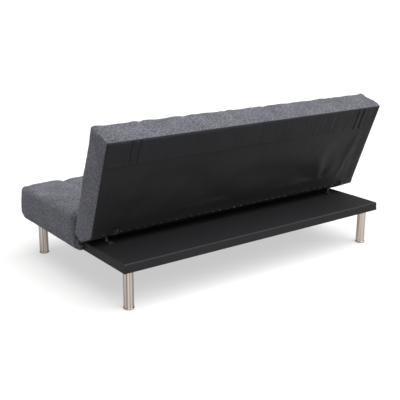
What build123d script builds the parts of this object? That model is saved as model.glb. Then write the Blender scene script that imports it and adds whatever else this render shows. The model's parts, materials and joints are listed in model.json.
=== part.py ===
"""Armless click-clack sofa bed: padded seat on a timber base, hinged padded back, rear shelf.

Millimetres. The origin is on the floor under the middle of the base. +X is the sofa's length,
-Y is the front of the seat and +Z is up. Right is +X, as seen from the front.
"""

from math import cos, hypot, radians, sin
import os

from build123d import *

# Overall sizes
sofa_width = 1750.0
base_depth = 1034.0
seat_height = 380.0
seat_depth = 617.0
shelf_width = 1678.0
leg_height = 200.0

# Timber base frame
rail_height = 40.0
rail_width = 35.0
deck_thickness = 3.2
slat_thickness = 12.0
slat_width = 70.0
slat_count = 6
bearer_offset = 750.0
nogging_rear_gap = 20.0
corner_block_length = 60.0

# Cloth, padding and clearances
cover_thickness = 2.0
cloth_thickness = 1.0
dust_cloth_thickness = 0.8
dust_cloth_margin = 9.0
soft_gap = 0.3
screw_gap = 0.1
pin_gap = 0.06

# Shape of the seat cover
band_height = 48.0
band_inset_front = 20.0
band_inset_side = 13.0
front_pad_height = 25.0
ear_length = 36.0
ear_height = 43.0
seat_edge_radius = 30.0

# Backrest, measured from its rear face and from its lower rear edge
back_angle = 20.4
back_length = 519.0
back_thickness = 157.0
bevel_start = 82.0
nose_radius = 45.0
back_edge_radius = 25.0
stile_width = 35.0
frame_setback = 4.0
hinge_stile_depth = 96.0
bottom_rail_start = 32.0
bottom_rail_width = 45.0
band_width = 125.0
back_slat_width = 60.0
back_slat_thickness = 8.0
back_slat_count = 8
back_slat_pitch = 188.0

# Hinge
pivot_depth = 83.4
flat_clearance = 2.6
nose_clearance = 4.0
seat_clearance = 6.0
release_angle = -12.0
plate_thickness = 4.0
plate_gap = 0.5
disc_radius = 36.0
neck_half_width = 14.0
foot_length = 76.0
foot_width = 22.0
pivot_radius = 6.0
pivot_head_radius = 9.0
pivot_head_height = 6.0
pivot_nut_height = 7.0
arm_half_width = 19.5
arm_to_timber = 1.9
arm_top = 180.0
arm_bolt_radius = 4.0
arm_bolt_head_radius = 6.5
arm_bolt_head_height = 3.5
arm_bolt_room = 7.0
arm_bolt_length = 25.0
arm_bolt_heights = (100.0, 160.0)
notch_bottom_radius = 31.0
notch_top_radius = 40.0
middle_angle = 35.0
notch_before = 9.0
notch_after = 4.5
pawl_pin_depth = 24.0
pawl_pin_height = 50.0
pawl_pin_radius = 4.0
pawl_pin_head_radius = 6.5
pawl_pin_head_height = 2.4
pawl_hub_radius = 9.0
pawl_bar_width = 8.0
pawl_tooth_width = 5.0
pawl_tooth_offset = -0.5
pawl_tooth_tip = 37.2
pawl_lift_room = 10.0
pocket_inner = 22.0
pocket_outer = 12.0

# Legs
leg_radius = 25.0
leg_wall = 1.5
leg_cap = 3.0
leg_lip_radius = 27.25
leg_lip_height = 6.0
leg_lip_round = 1.5
glide_thickness = 2.0
glide_radius = 25.5
glide_plug_height = 18.0
leg_offset_x = 785.0
front_leg_inset = 68.0
rear_leg_inset = 60.0
leg_bolt_radius = 4.0
leg_bolt_head_radius = 6.5
leg_bolt_head_height = 5.0
tee_nut_flange_radius = 9.0
tee_nut_flange_thickness = 1.5
tee_nut_barrel_radius = 5.2
tee_nut_depth = 18.0

# Screws
screw_radius = 3.0
screw_head_radius = 5.5
screw_head_height = 2.5
rail_screw_length = 75.0
rail_hole_extra = 1.0
bracket_screw_length = 32.0
bracket_screw_pitch = 56.0

# Levels and lines that follow from the sizes above
half_width = sofa_width / 2
half_depth = base_depth / 2
half_shelf = shelf_width / 2
frame_margin = cover_thickness + cloth_thickness
half_frame = half_shelf - frame_margin
frame_bottom = leg_height
frame_top = frame_bottom + rail_height
deck_top = frame_top + deck_thickness
shelf_top = deck_top + soft_gap + cover_thickness - soft_gap / 2
slat_top = frame_top + slat_thickness
below = frame_bottom - rail_height
seat_front = -half_depth
seat_rear = seat_front + seat_depth
band_top = frame_bottom + band_height
frame_front = seat_front + band_inset_front + frame_margin
frame_rear = half_depth - frame_margin
nogging_rear = seat_rear - nogging_rear_gap
nogging_front = nogging_rear - rail_width
deck_front = (nogging_front + nogging_rear) / 2
slat_rear = deck_front - soft_gap
end_rail_inner = half_frame - rail_width
bearer_inner = bearer_offset - rail_width / 2
bearer_outer = bearer_offset + rail_width / 2
inner_front = frame_front + rail_width
inner_rear = frame_rear - rail_width
front_leg_y = seat_front + front_leg_inset
rear_leg_y = half_depth - rear_leg_inset

nose_drop = pivot_depth + flat_clearance - nose_clearance
nose_corner_swing = hypot(back_thickness - nose_radius - pivot_depth, nose_drop - nose_radius) + nose_radius
pivot_y = seat_rear + nose_corner_swing + seat_clearance
pivot_z = shelf_top + pivot_depth + flat_clearance
flat_angle = 90.0 - back_angle
lean = radians(back_angle)
lower_edge_y = pivot_y + pivot_depth * cos(lean)
lower_edge_z = pivot_z - pivot_depth * sin(lean)
frame_front_face = pivot_depth - arm_half_width - arm_to_timber
frame_thickness = frame_front_face - frame_setback
bottom_rail_top = bottom_rail_start + bottom_rail_width
top_rail_start = back_length - cover_thickness - band_width
back_half = half_width - cover_thickness - soft_gap
back_top = back_length - cover_thickness - soft_gap

bracket_inner = bearer_offset + cover_thickness
bracket_outer = bracket_inner + plate_thickness
arm_inner = bracket_outer + plate_gap
arm_outer = arm_inner + plate_thickness
hinge_stile_inner = arm_outer + soft_gap
hinge_stile_outer = hinge_stile_inner + stile_width
bracket_foot_inner = bracket_outer - foot_width
bracket_screw_x = bracket_foot_inner + foot_width / 2 - cover_thickness

# Local axes of the backrest: x runs from its rear face to the sitter, y runs up its face
back_plane = Plane(
    origin=(0, lower_edge_y, lower_edge_z),
    x_dir=(0, -cos(lean), sin(lean)),
    z_dir=(-1, 0, 0),
)

sides = {"left": -1, "right": 1}
os.makedirs("parts", exist_ok=True)


def finish(piece, name):
    """Label a finished piece and write it to its own file."""
    piece.part.label = name
    export_step(piece.part, f"parts/{name}.step")


def span(side, inner, outer):
    """Limits along X of a strip that lies between two distances on one side."""
    return tuple(sorted((side * inner, side * outer)))


def block(x_limits, y_limits, z_limits, mode=Mode.ADD):
    """A box between two limits on each axis of the sofa."""
    limits = (x_limits, y_limits, z_limits)
    centre = tuple((low + high) / 2 for low, high in limits)
    with Locations(centre):
        Box(*(high - low for low, high in limits), mode=mode)


def back_block(x_limits, depth_limits, height_limits, mode=Mode.ADD):
    """A box between two limits on each of the backrest's own axes."""
    depth, height, across = (sum(pair) / 2 for pair in (depth_limits, height_limits, x_limits))
    sizes = (pair[1] - pair[0] for pair in (depth_limits, height_limits, x_limits))
    with Locations(back_plane.location * Location((depth, height, -across))):
        Box(*sizes, mode=mode)


def rod(radius, x_limits, depth, height, mode=Mode.ADD):
    """A round bar along X, placed by the backrest's depth and height."""
    across = sum(x_limits) / 2
    with Locations(back_plane.location * Location((depth, height, -across))):
        Cylinder(radius, x_limits[1] - x_limits[0], mode=mode)


def post(radius, x, y, z_limits, mode=Mode.ADD):
    """A round bar along Z."""
    with Locations((x, y, sum(z_limits) / 2)):
        Cylinder(radius, z_limits[1] - z_limits[0], mode=mode)


def leg_places():
    """The middle of each leg."""
    return [(side * leg_offset_x, y) for y in (front_leg_y, rear_leg_y) for side in (-1, 1)]


def rail_joints():
    """The X place of each front-to-back timber that the front and rear rails hold."""
    end = end_rail_inner + rail_width / 2
    return (-end, -bearer_offset, 0.0, bearer_offset, end)


# Base frame


def along_y(radius, x, face_y, inward, length, mode=Mode.ADD):
    """A round bar that goes into a rail from its outer face."""
    level = frame_top - rail_height / 2
    with Locations(Location((x, face_y + inward * length / 2, level), (90, 0, 0))):
        Cylinder(radius, length, mode=mode)


def rail_screw_holes(face_y, inward):
    """Holes for the screws that go through a long rail into the timber behind it."""
    hole_length = rail_screw_length + rail_hole_extra
    for x in rail_joints():
        along_y(screw_radius + screw_gap, x, face_y, inward, hole_length, Mode.SUBTRACT)
        along_y(screw_head_radius + screw_gap, x, face_y, inward, screw_head_height, Mode.SUBTRACT)


def long_rail(name, y_limits, face_y, inward):
    """A rail along the whole front or rear of the base."""
    with BuildPart() as rail:
        block((-half_frame, half_frame), y_limits, (frame_bottom, frame_top))
        rail_screw_holes(face_y, inward)
    finish(rail, name)


long_rail("frame_front_rail", (frame_front, inner_front), frame_front, 1)
long_rail("frame_rear_rail", (inner_rear, frame_rear), frame_rear, -1)


def bracket_screws(side, gap, mode=Mode.ADD):
    """The two screws of one hinge bracket, or their holes when given a gap."""
    foot_top = shelf_top + plate_thickness
    for offset in (-bracket_screw_pitch / 2, bracket_screw_pitch / 2):
        x = side * bracket_screw_x
        y = pivot_y + offset
        post(screw_radius + gap, x, y, (foot_top - bracket_screw_length - gap, foot_top), mode)
        post(screw_head_radius + gap, x, y, (foot_top - screw_head_height - gap, foot_top), mode)


def deep_rail(name, x_limits, with_bracket_holes=None):
    """A timber that runs from the front rail to the rear rail."""
    with BuildPart() as rail:
        block(x_limits, (inner_front, inner_rear), (frame_bottom, frame_top))
        rail_screw_holes(frame_front, 1)
        rail_screw_holes(frame_rear, -1)
        if with_bracket_holes:
            bracket_screws(with_bracket_holes, screw_gap, Mode.SUBTRACT)
    finish(rail, name)


for name, side in sides.items():
    deep_rail(f"frame_end_rail_{name}", span(side, end_rail_inner, half_frame))
    deep_rail(f"bearer_{name}", span(side, bearer_inner, bearer_outer), with_bracket_holes=side)
deep_rail("bearer_centre", (-rail_width / 2, rail_width / 2))

with BuildPart() as noggings:
    for side in sides.values():
        for inner, outer in ((rail_width / 2, bearer_inner), (bearer_outer, end_rail_inner)):
            block(span(side, inner, outer), (nogging_front, nogging_rear), (frame_bottom, frame_top))
finish(noggings, "frame_noggings")

with BuildPart() as corner_blocks:
    for side in sides.values():
        x_limits = span(side, bearer_outer, end_rail_inner)
        block(x_limits, (inner_front, inner_front + corner_block_length), (frame_bottom, frame_top))
        block(x_limits, (inner_rear - corner_block_length, inner_rear), (frame_bottom, frame_top))
    for x, y in leg_places():
        flange_bottom = frame_top - tee_nut_flange_thickness
        barrel_bottom = frame_top - tee_nut_depth
        post(leg_bolt_radius + screw_gap, x, y, (frame_bottom, frame_top), Mode.SUBTRACT)
        post(tee_nut_barrel_radius + screw_gap, x, y, (barrel_bottom, frame_top), Mode.SUBTRACT)
        post(tee_nut_flange_radius + screw_gap, x, y, (flange_bottom, frame_top), Mode.SUBTRACT)
finish(corner_blocks, "corner_blocks")

with BuildPart() as frame_screws:
    for face_y, inward in ((frame_front, 1), (frame_rear, -1)):
        for x in rail_joints():
            along_y(screw_radius, x, face_y, inward, rail_screw_length)
            along_y(screw_head_radius, x, face_y, inward, screw_head_height)
finish(frame_screws, "frame_screws")

with BuildPart() as seat_slats:
    slat_span = slat_rear - frame_front
    slat_pitch = (slat_span - slat_width) / (slat_count - 1)
    with Locations((0, (slat_rear + frame_front) / 2, frame_top + slat_thickness / 2)):
        with GridLocations(0, slat_pitch, 1, slat_count):
            Box(2 * half_frame, slat_width, slat_thickness)
finish(seat_slats, "seat_slats")

with BuildPart() as shelf_deck:
    block((-half_frame, half_frame), (deck_front, frame_rear), (frame_top, deck_top))
    for side in sides.values():
        bracket_screws(side, screw_gap, Mode.SUBTRACT)
finish(shelf_deck, "shelf_deck")

# Seat


def seat_shape(inset):
    """The seat's outer shape, drawn in by an inset on its covered sides."""
    half = half_width - inset
    front = seat_front + inset
    rear = seat_rear - inset
    low_half = half - band_inset_side
    with BuildPart() as shape:
        block((-half, half), (front, rear), (band_top, seat_height - inset))
        top_edges = shape.faces().sort_by(Axis.Z)[-1].edges()
        fillet(top_edges, seat_edge_radius - inset)
        with BuildSketch(Plane.XY.offset(band_top)):
            with Locations((0, (front + rear) / 2)):
                Rectangle(2 * half, rear - front)
        with BuildSketch(Plane.XY.offset(frame_bottom)):
            with Locations((0, (front + band_inset_front + rear) / 2)):
                Rectangle(2 * low_half, rear - front - band_inset_front)
        loft()
        ear_rear = seat_rear + ear_length - inset
        ear_top = frame_bottom + ear_height - inset
        block((-low_half, low_half), (seat_rear - ear_length, ear_rear), (frame_bottom, ear_top))
    return shape.part


with BuildPart() as seat_foam:
    add(seat_shape(cover_thickness + soft_gap))
    inside = half_frame + soft_gap
    beside_shelf = half_shelf + soft_gap
    front_line = frame_front - soft_gap
    block((-inside, inside), (front_line, slat_rear), (below, slat_top + soft_gap), Mode.SUBTRACT)
    block((-half_width, half_width), (seat_front, front_line),
          (below, frame_bottom + front_pad_height), Mode.SUBTRACT)
    block((-beside_shelf, beside_shelf), (slat_rear, half_depth),
          (below, shelf_top + soft_gap), Mode.SUBTRACT)
finish(seat_foam, "seat_foam")

with BuildPart() as seat_cover:
    add(seat_shape(0))
    add(seat_shape(cover_thickness), mode=Mode.SUBTRACT)
    block((-beside_shelf, beside_shelf), (slat_rear, half_depth),
          (below, shelf_top + soft_gap), Mode.SUBTRACT)
finish(seat_cover, "seat_cover")

with BuildPart() as shelf_cover:
    block((-half_shelf, half_shelf), (deck_front, half_depth), (frame_bottom, shelf_top))
    inner_half = half_shelf - cover_thickness
    cover_bottom = deck_top + soft_gap / 2
    block((-inner_half, inner_half), (deck_front, half_depth - cover_thickness),
          (frame_bottom, cover_bottom), Mode.SUBTRACT)
    for side in sides.values():
        bracket_screws(side, screw_gap, Mode.SUBTRACT)
finish(shelf_cover, "shelf_cover")

with BuildPart() as base_dust_cloth:
    margin = dust_cloth_margin
    block((-half_frame + margin, half_frame - margin), (frame_front + margin, frame_rear - margin),
          (frame_bottom - dust_cloth_thickness, frame_bottom))
    for x, y in leg_places():
        post(leg_radius + soft_gap, x, y, (below, frame_top), Mode.SUBTRACT)
finish(base_dust_cloth, "base_dust_cloth")

# Legs


def leg_name(x, y):
    """Which corner a leg stands at."""
    end = "front" if y < 0 else "rear"
    return f"{end}_{'right' if x > 0 else 'left'}"


for x, y in leg_places():
    with BuildPart() as leg:
        post(leg_radius, x, y, (glide_thickness, leg_height))
        post(leg_lip_radius, x, y, (glide_thickness, glide_thickness + leg_lip_height))
        lip_edges = leg.edges().filter_by(GeomType.CIRCLE).group_by(SortBy.RADIUS)[-1]
        fillet(lip_edges, leg_lip_round)
        post(leg_radius - leg_wall, x, y, (glide_thickness, leg_height - leg_cap), Mode.SUBTRACT)
        post(leg_bolt_radius + screw_gap, x, y, (0, leg_height), Mode.SUBTRACT)
    finish(leg, f"leg_{leg_name(x, y)}")

    with BuildPart() as glide:
        post(glide_radius, x, y, (0, glide_thickness))
        post(leg_radius - leg_wall - soft_gap, x, y, (glide_thickness, glide_thickness + glide_plug_height))
    finish(glide, f"leg_glide_{leg_name(x, y)}")

with BuildPart() as leg_bolts:
    cap_underside = leg_height - leg_cap
    for x, y in leg_places():
        post(leg_bolt_head_radius, x, y, (cap_underside - leg_bolt_head_height, cap_underside))
        post(leg_bolt_radius, x, y, (cap_underside, frame_top - tee_nut_flange_thickness))
finish(leg_bolts, "leg_bolts")

with BuildPart() as tee_nuts:
    for x, y in leg_places():
        post(tee_nut_barrel_radius, x, y, (frame_top - tee_nut_depth, frame_top))
        post(tee_nut_flange_radius, x, y, (frame_top - tee_nut_flange_thickness, frame_top))
        post(leg_bolt_radius + pin_gap, x, y, (frame_bottom, frame_top), Mode.SUBTRACT)
finish(tee_nuts, "leg_tee_nuts")

# Backrest


def back_prism(inset, half_length, mode=Mode.ADD):
    """The backrest's side view, drawn in by an inset and carried along its length."""
    with BuildSketch(back_plane) as view:
        with BuildLine():
            Polyline(
                (0, 0),
                (0, back_length),
                (back_thickness, back_length),
                (back_thickness, -nose_drop),
                (bevel_start, -nose_drop),
                close=True,
            )
        make_face()
        shoulder = view.vertices().group_by(Axis.X)[-1].sort_by(Axis.Y)[-1]
        fillet(shoulder, back_edge_radius)
        nose = view.vertices().group_by(Axis.X)[-1].sort_by(Axis.Y)[0]
        fillet(nose, nose_radius)
        if inset:
            offset(amount=-inset, kind=Kind.INTERSECTION, mode=Mode.REPLACE)
    extrude(view.sketch, amount=half_length, both=True, mode=mode)


def rear_wedge(half_length, depth, low, high, mode):
    """The region behind a depth on the rear face, and behind the bevel under it."""
    with BuildSketch(back_plane) as view:
        with BuildLine():
            Polyline(
                (-depth, high),
                (depth, high),
                (depth, low),
                (bevel_start, -nose_drop + depth),
                (bevel_start, -nose_drop - depth),
                (-depth, -nose_drop - depth),
                close=True,
            )
        make_face()
    extrude(view.sketch, amount=half_length, both=True, mode=mode)


def hinge_pockets(mode=Mode.SUBTRACT):
    """Room in the backrest for the fixed bracket over the whole swing, and for the pawl."""
    for side in sides.values():
        x_limits = span(side, bearer_offset - pocket_inner, hinge_stile_inner + pocket_outer)
        swing_front = pivot_depth + max(disc_radius, foot_length / 2 - neck_half_width) + soft_gap
        back_block(x_limits, (-nose_clearance, swing_front),
                   (-nose_drop - nose_clearance, bottom_rail_start - soft_gap), mode)


def mechanism_room(mode=Mode.SUBTRACT):
    """Room in the padding for the disc, the arm, the pawl and the hinge stile."""
    for side in sides.values():
        front = pivot_depth + max(disc_radius, pawl_pin_depth + pawl_hub_radius) + soft_gap
        top = pawl_pin_height + pawl_hub_radius + pawl_lift_room
        back_block(span(side, bearer_offset - pivot_head_height, hinge_stile_outer + soft_gap),
                   (frame_setback, front), (0, top), mode)
        back_block(span(side, arm_inner - arm_bolt_room, hinge_stile_outer + soft_gap),
                   (frame_setback, pivot_depth + arm_half_width + soft_gap),
                   (0, arm_top + soft_gap), mode)
        back_block(span(side, hinge_stile_inner - soft_gap, hinge_stile_outer + soft_gap),
                   (frame_setback, frame_setback + hinge_stile_depth + soft_gap),
                   (0, top_rail_start + soft_gap), mode)


def back_timber(name, x_limits, height_limits, depth=frame_thickness):
    """One timber of the backrest's frame."""
    with BuildPart() as timber:
        back_block(x_limits, (frame_setback, frame_setback + depth), height_limits)
    finish(timber, name)


back_timber("back_top_rail", (-back_half, back_half), (top_rail_start, back_top))
back_timber("back_bottom_rail", (-back_half, back_half), (bottom_rail_start, bottom_rail_top))
stile_heights = (bottom_rail_top, top_rail_start)
back_timber("back_centre_stile", (-rail_width / 2, rail_width / 2), stile_heights)
for name, side in sides.items():
    back_timber(f"back_end_stile_{name}", span(side, back_half - stile_width, back_half), stile_heights)

for name, side in sides.items():
    x_limits = span(side, hinge_stile_inner, hinge_stile_outer)
    with BuildPart() as stile:
        back_block(x_limits, (frame_setback, frame_setback + hinge_stile_depth), stile_heights)
        for height in arm_bolt_heights:
            rod(arm_bolt_radius + screw_gap, x_limits, pivot_depth, height, Mode.SUBTRACT)
    finish(stile, f"hinge_stile_{name}")

with BuildPart() as back_slats:
    slat_faces = (frame_front_face, frame_front_face + back_slat_thickness)
    for number in range(back_slat_count):
        middle = (number - (back_slat_count - 1) / 2) * back_slat_pitch
        x_limits = (middle - back_slat_width / 2, middle + back_slat_width / 2)
        back_block(x_limits, slat_faces, (bottom_rail_start, back_top - cover_thickness))
finish(back_slats, "back_slats")

with BuildPart() as back_foam:
    rear_space = frame_front_face + back_slat_thickness + soft_gap
    back_prism(cover_thickness + soft_gap, back_half)
    back_block((-half_width, half_width), (-nose_radius, rear_space),
               (bottom_rail_start - soft_gap, back_length), Mode.SUBTRACT)
    rear_wedge(half_width, frame_setback + soft_gap, 0, back_length, Mode.SUBTRACT)
    hinge_pockets()
    mechanism_room()
finish(back_foam, "back_foam")

with BuildPart() as back_cover:
    back_prism(0, half_width)
    back_prism(cover_thickness, half_width - cover_thickness, Mode.SUBTRACT)
    rear_wedge(half_width - cover_thickness, nose_clearance, 0, back_length - cover_thickness, Mode.SUBTRACT)
    hinge_pockets()
finish(back_cover, "back_cover")

with BuildPart() as back_rear_cloth:
    cloth_back = frame_setback - cloth_thickness - soft_gap
    back_prism(cloth_back, back_half)
    back_prism(cloth_back + cloth_thickness, back_half, Mode.SUBTRACT)
    rear_wedge(half_width, frame_setback, 0, top_rail_start - soft_gap, Mode.INTERSECT)
    hinge_pockets()
finish(back_rear_cloth, "back_rear_cloth")

with BuildPart() as back_top_band:
    back_block((-back_half, back_half), (0, frame_setback - soft_gap), (top_rail_start, back_top))
finish(back_top_band, "back_top_band")

# Click-clack hinges


def polar(radius, angle):
    """A point round the pivot in the backrest's axes, its angle turning from up towards the rear."""
    turn = radians(angle)
    return (pivot_depth - radius * sin(turn), radius * cos(turn))


def notch(angle_from, angle_to):
    """A tooth space in the bracket's disc."""
    Polygon(
        polar(notch_bottom_radius, angle_from),
        polar(notch_top_radius, angle_from),
        polar(notch_top_radius, (angle_from + angle_to) / 2),
        polar(notch_top_radius, angle_to),
        polar(notch_bottom_radius, angle_to),
        align=None,
        mode=Mode.SUBTRACT,
    )


def plate_plane(side, inner, outer):
    """The backrest's own plane, moved to the face of a plate with the lower X."""
    return back_plane.offset(-span(side, inner, outer)[1])


for name, side in sides.items():
    with BuildPart() as bracket:
        with BuildSketch(plate_plane(side, bracket_inner, bracket_outer)):
            with Locations((pivot_depth, 0)):
                Circle(disc_radius)
            notch(release_angle - notch_before, notch_after)
            notch(middle_angle - notch_before, middle_angle + notch_after)
            notch(flat_angle - notch_before, flat_angle + notch_after)
        extrude(amount=plate_thickness)
        neck_limits = (pivot_y - neck_half_width, pivot_y + neck_half_width)
        foot_limits = (pivot_y - foot_length / 2, pivot_y + foot_length / 2)
        block(span(side, bracket_inner, bracket_outer), neck_limits, (shelf_top, pivot_z))
        block(span(side, bracket_foot_inner, bracket_outer), foot_limits,
              (shelf_top, shelf_top + plate_thickness))
        rod(pivot_radius + pin_gap, span(side, bracket_inner, bracket_outer), pivot_depth, 0, Mode.SUBTRACT)
        bracket_screws(side, screw_gap, Mode.SUBTRACT)
    finish(bracket, f"hinge_bracket_{name}")

    with BuildPart() as pivot_bolt:
        rod(pivot_radius, span(side, bracket_inner, arm_outer + pivot_nut_height), pivot_depth, 0)
        rod(pivot_head_radius, span(side, bracket_inner - pivot_head_height, bracket_inner), pivot_depth, 0)
        nut_inner = arm_outer + soft_gap
        rod(pivot_head_radius, span(side, nut_inner, nut_inner + pivot_nut_height), pivot_depth, 0)
    finish(pivot_bolt, f"pivot_bolt_{name}")

    with BuildPart() as arm:
        x_limits = span(side, arm_inner, arm_outer)
        arm_depths = (pivot_depth - arm_half_width, pivot_depth + arm_half_width)
        rod(arm_half_width, x_limits, pivot_depth, 0)
        back_block(x_limits, arm_depths, (0, arm_top))
        rod(pawl_hub_radius, x_limits, pivot_depth + pawl_pin_depth, pawl_pin_height)
        back_block(x_limits, (pivot_depth, pivot_depth + pawl_pin_depth),
                   (pawl_pin_height - pawl_hub_radius, pawl_pin_height + pawl_hub_radius))
        rod(pivot_radius + pin_gap, x_limits, pivot_depth, 0, Mode.SUBTRACT)
        pin_depth = pivot_depth + pawl_pin_depth
        rod(pawl_pin_radius + pin_gap, x_limits, pin_depth, pawl_pin_height, Mode.SUBTRACT)
        for height in arm_bolt_heights:
            rod(arm_bolt_radius + screw_gap, x_limits, pivot_depth, height, Mode.SUBTRACT)
    finish(arm, f"hinge_arm_{name}")

    with BuildPart() as pawl:
        pawl_limits = span(side, bracket_inner + soft_gap / 2, bracket_outer - soft_gap / 2)
        hub_depth = pivot_depth + pawl_pin_depth
        tooth_middle = pivot_depth + pawl_tooth_offset
        tooth_depths = (tooth_middle - pawl_tooth_width / 2, tooth_middle + pawl_tooth_width / 2)
        bar_heights = (pawl_pin_height - pawl_bar_width / 2, pawl_pin_height + pawl_bar_width / 2)
        rod(pawl_hub_radius, pawl_limits, hub_depth, pawl_pin_height)
        back_block(pawl_limits, (tooth_depths[0], hub_depth), bar_heights)
        back_block(pawl_limits, tooth_depths, (pawl_tooth_tip, pawl_pin_height))
        rod(pawl_pin_radius + pin_gap, pawl_limits, hub_depth, pawl_pin_height, Mode.SUBTRACT)
    finish(pawl, f"pawl_{name}")

with BuildPart() as pawl_pins:
    for side in sides.values():
        head_outer = bracket_inner - soft_gap / 2
        rod(pawl_pin_radius, span(side, head_outer, arm_outer), hub_depth, pawl_pin_height)
        rod(pawl_pin_head_radius, span(side, head_outer - pawl_pin_head_height, head_outer),
            hub_depth, pawl_pin_height)
finish(pawl_pins, "pawl_pins")

with BuildPart() as arm_bolts:
    for side in sides.values():
        for height in arm_bolt_heights:
            rod(arm_bolt_radius, span(side, arm_inner, arm_inner + arm_bolt_length), pivot_depth, height)
            rod(arm_bolt_head_radius, span(side, arm_inner - arm_bolt_head_height, arm_inner),
                pivot_depth, height)
finish(arm_bolts, "arm_bolts")

with BuildPart() as bracket_screw_set:
    for side in sides.values():
        bracket_screws(side, 0)
finish(bracket_screw_set, "bracket_screws")
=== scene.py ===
"""Looks of an armless click-clack sofa bed: tufted linen cushions, black rear cloth, timber and steel.

Everything is in metres. +X is the sofa's length, -Y the front of the seat and +Z is up.
"""

import json
import math

import bpy
import numpy as np
from bpy.props import FloatProperty, FloatVectorProperty, IntProperty, PointerProperty
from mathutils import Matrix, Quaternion, Vector, noise


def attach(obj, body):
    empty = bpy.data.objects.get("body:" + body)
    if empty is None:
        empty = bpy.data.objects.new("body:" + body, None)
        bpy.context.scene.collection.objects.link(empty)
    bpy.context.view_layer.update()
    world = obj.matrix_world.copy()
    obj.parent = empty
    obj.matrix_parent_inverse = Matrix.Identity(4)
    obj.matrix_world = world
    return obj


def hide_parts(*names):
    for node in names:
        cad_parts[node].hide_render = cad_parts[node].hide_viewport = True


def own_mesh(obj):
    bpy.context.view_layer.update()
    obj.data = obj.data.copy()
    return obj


bl_info = {
    "name": "Click-clack sofa bed",
    "version": (1, 0, 0),
    "blender": (4, 5, 0),
    "location": "3D View > Sidebar > Sofa bed",
    "description": "Makes the upholstery, finishes and studio of a click-clack sofa bed",
    "category": "Object",
}

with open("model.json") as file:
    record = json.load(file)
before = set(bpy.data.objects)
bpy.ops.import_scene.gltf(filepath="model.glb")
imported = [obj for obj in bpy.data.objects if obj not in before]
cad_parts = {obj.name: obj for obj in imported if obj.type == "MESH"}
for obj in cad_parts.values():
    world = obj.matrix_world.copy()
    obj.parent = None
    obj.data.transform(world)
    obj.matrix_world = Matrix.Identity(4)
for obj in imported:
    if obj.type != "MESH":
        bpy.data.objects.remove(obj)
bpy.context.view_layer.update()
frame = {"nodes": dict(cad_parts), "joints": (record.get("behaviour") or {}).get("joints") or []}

NODES = frame["nodes"]
RECLINE = next(joint for joint in frame["joints"] if joint["name"] == "back_recline")
LEAN = math.radians(90 - RECLINE["range_deg"][1])
PIVOT = np.array(RECLINE["pos_m"], float)
ALONG = np.array((1.0, 0.0, 0.0))
FORWARD = np.array((0.0, -math.cos(LEAN), math.sin(LEAN)))
UPWARD = np.array((0.0, math.sin(LEAN), math.cos(LEAN)))
BACK_AXES = np.array((ALONG, FORWARD, UPWARD))
SOFA_AXES = np.eye(3)


# Measures taken from the frame


def rows_of(items, name):
    """A property with three numbers, as one row for each item."""
    values = np.empty(len(items) * 3)
    items.foreach_get(name, values)
    return values.reshape(-1, 3)


def points_of(made):
    """The vertices of an object's mesh."""
    return rows_of(made.data.vertices, "co")


def node_limits(name, axes=SOFA_AXES):
    """Lowest and highest reach of a CAD node along each of three axes."""
    reach = points_of(NODES[name]) @ axes.T
    return reach.min(0), reach.max(0)


BACK_LOW, BACK_HIGH = node_limits("back_cover", BACK_AXES)
SEAT_LOW, SEAT_HIGH = node_limits("seat_cover")
SHELF_LOW, SHELF_HIGH = node_limits("shelf_cover")
BAND_LOW = node_limits("back_top_band", BACK_AXES)[0]
RAIL_LOW, RAIL_HIGH = node_limits("back_bottom_rail", BACK_AXES)
BRACKET_LOW = node_limits("hinge_bracket_right", BACK_AXES)[0]
BOLT_HIGH = node_limits("pivot_bolt_right", BACK_AXES)[1]
PIVOT_FORWARD = float(PIVOT @ FORWARD)
REAR_FACE = float(BACK_LOW[1]) - 0.0002
SEAT_POINTS = points_of(NODES["seat_cover"])
SEAT_REAR = float(SEAT_POINTS[SEAT_POINTS[:, 2] > SHELF_HIGH[2] + 0.02, 1].max())

# Cells of the cushions' meshes, and small clearances
SEAT_ROW_CELLS = 15
SEAT_HEIGHT_CELLS = 16
BACK_ROW_CELLS = 16
BACK_DEPTH_CELLS = 16
NOSE_CELLS = 9
UNDER_WRAP = 0.0005
HINGE_ROOM = 0.005
HINGE_SWING = 0.0363
TIMBER_ROUND = 0.006
SHELF_EASE = 0.0008
UNDER_ROUND = 0.0015
BAND_TUCKS = (-0.747, -0.705, 0.705, 0.747)
COVER_OVER_TIMBER = 0.0014

# The seat cover's gathered tails: cells, start, height, round and folds
TAIL_CELLS = (8, 18, 14)
TAIL_START = 0.030
TAIL_HEIGHT = 0.056
TAIL_ROUND = 0.009
TAIL_FOLD = 0.0032
TAIL_FOLD_PITCH = 0.017

# Folds of the tufted faces where two seams cross, and tucks beside a seam
TUCK_FOLD = 0.0016
TUCK_DIMPLE = 0.006
TUCK_REACH = 0.03
PLEAT_HEIGHT = 0.0008
PLEAT_PITCH = 0.021

# Rear cloth: bays between its timbers, its folds, how far it may lie in, and the reach of its edges
END_BAY = 0.037
HINGE_BAY = 0.778
FAN_START = (-0.56, -0.02)
FAN_FOLD = 0.0034
RIDGE_HEIGHT = 0.0042
TIMBER_DIP = 0.0026
BAY_DIP = 0.02
EDGE_HOLD = 0.018

# Staples: length, depth and thickness of one, its bow, and its height over the cloth's edge
STAPLE_SIZE = (0.0115, 0.0007, 0.0012)
STAPLE_CELLS = (4, 1, 1)
STAPLE_BOW = 0.0006
STAPLE_RISE = 0.010

# Dust sheet
DUST_CELL = 0.024
DUST_SAG = 0.006

# Studio: half the floor's side, and the spread in degrees and direction of the soft light
FLOOR_REACH = 60.0
KEY_SPREAD = 75
KEY_DIRECTION = (0.20, -0.40, -1.0)


# Sizes and colours that a user would change


def in_metres(name, description, default):
    """A setting that is a length."""
    return FloatProperty(name=name, description=description, default=default, unit="LENGTH")


def in_degrees(name, description, default):
    """A setting that is an angle."""
    return FloatProperty(name=name, description=description, default=math.radians(default), subtype="ANGLE")


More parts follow.
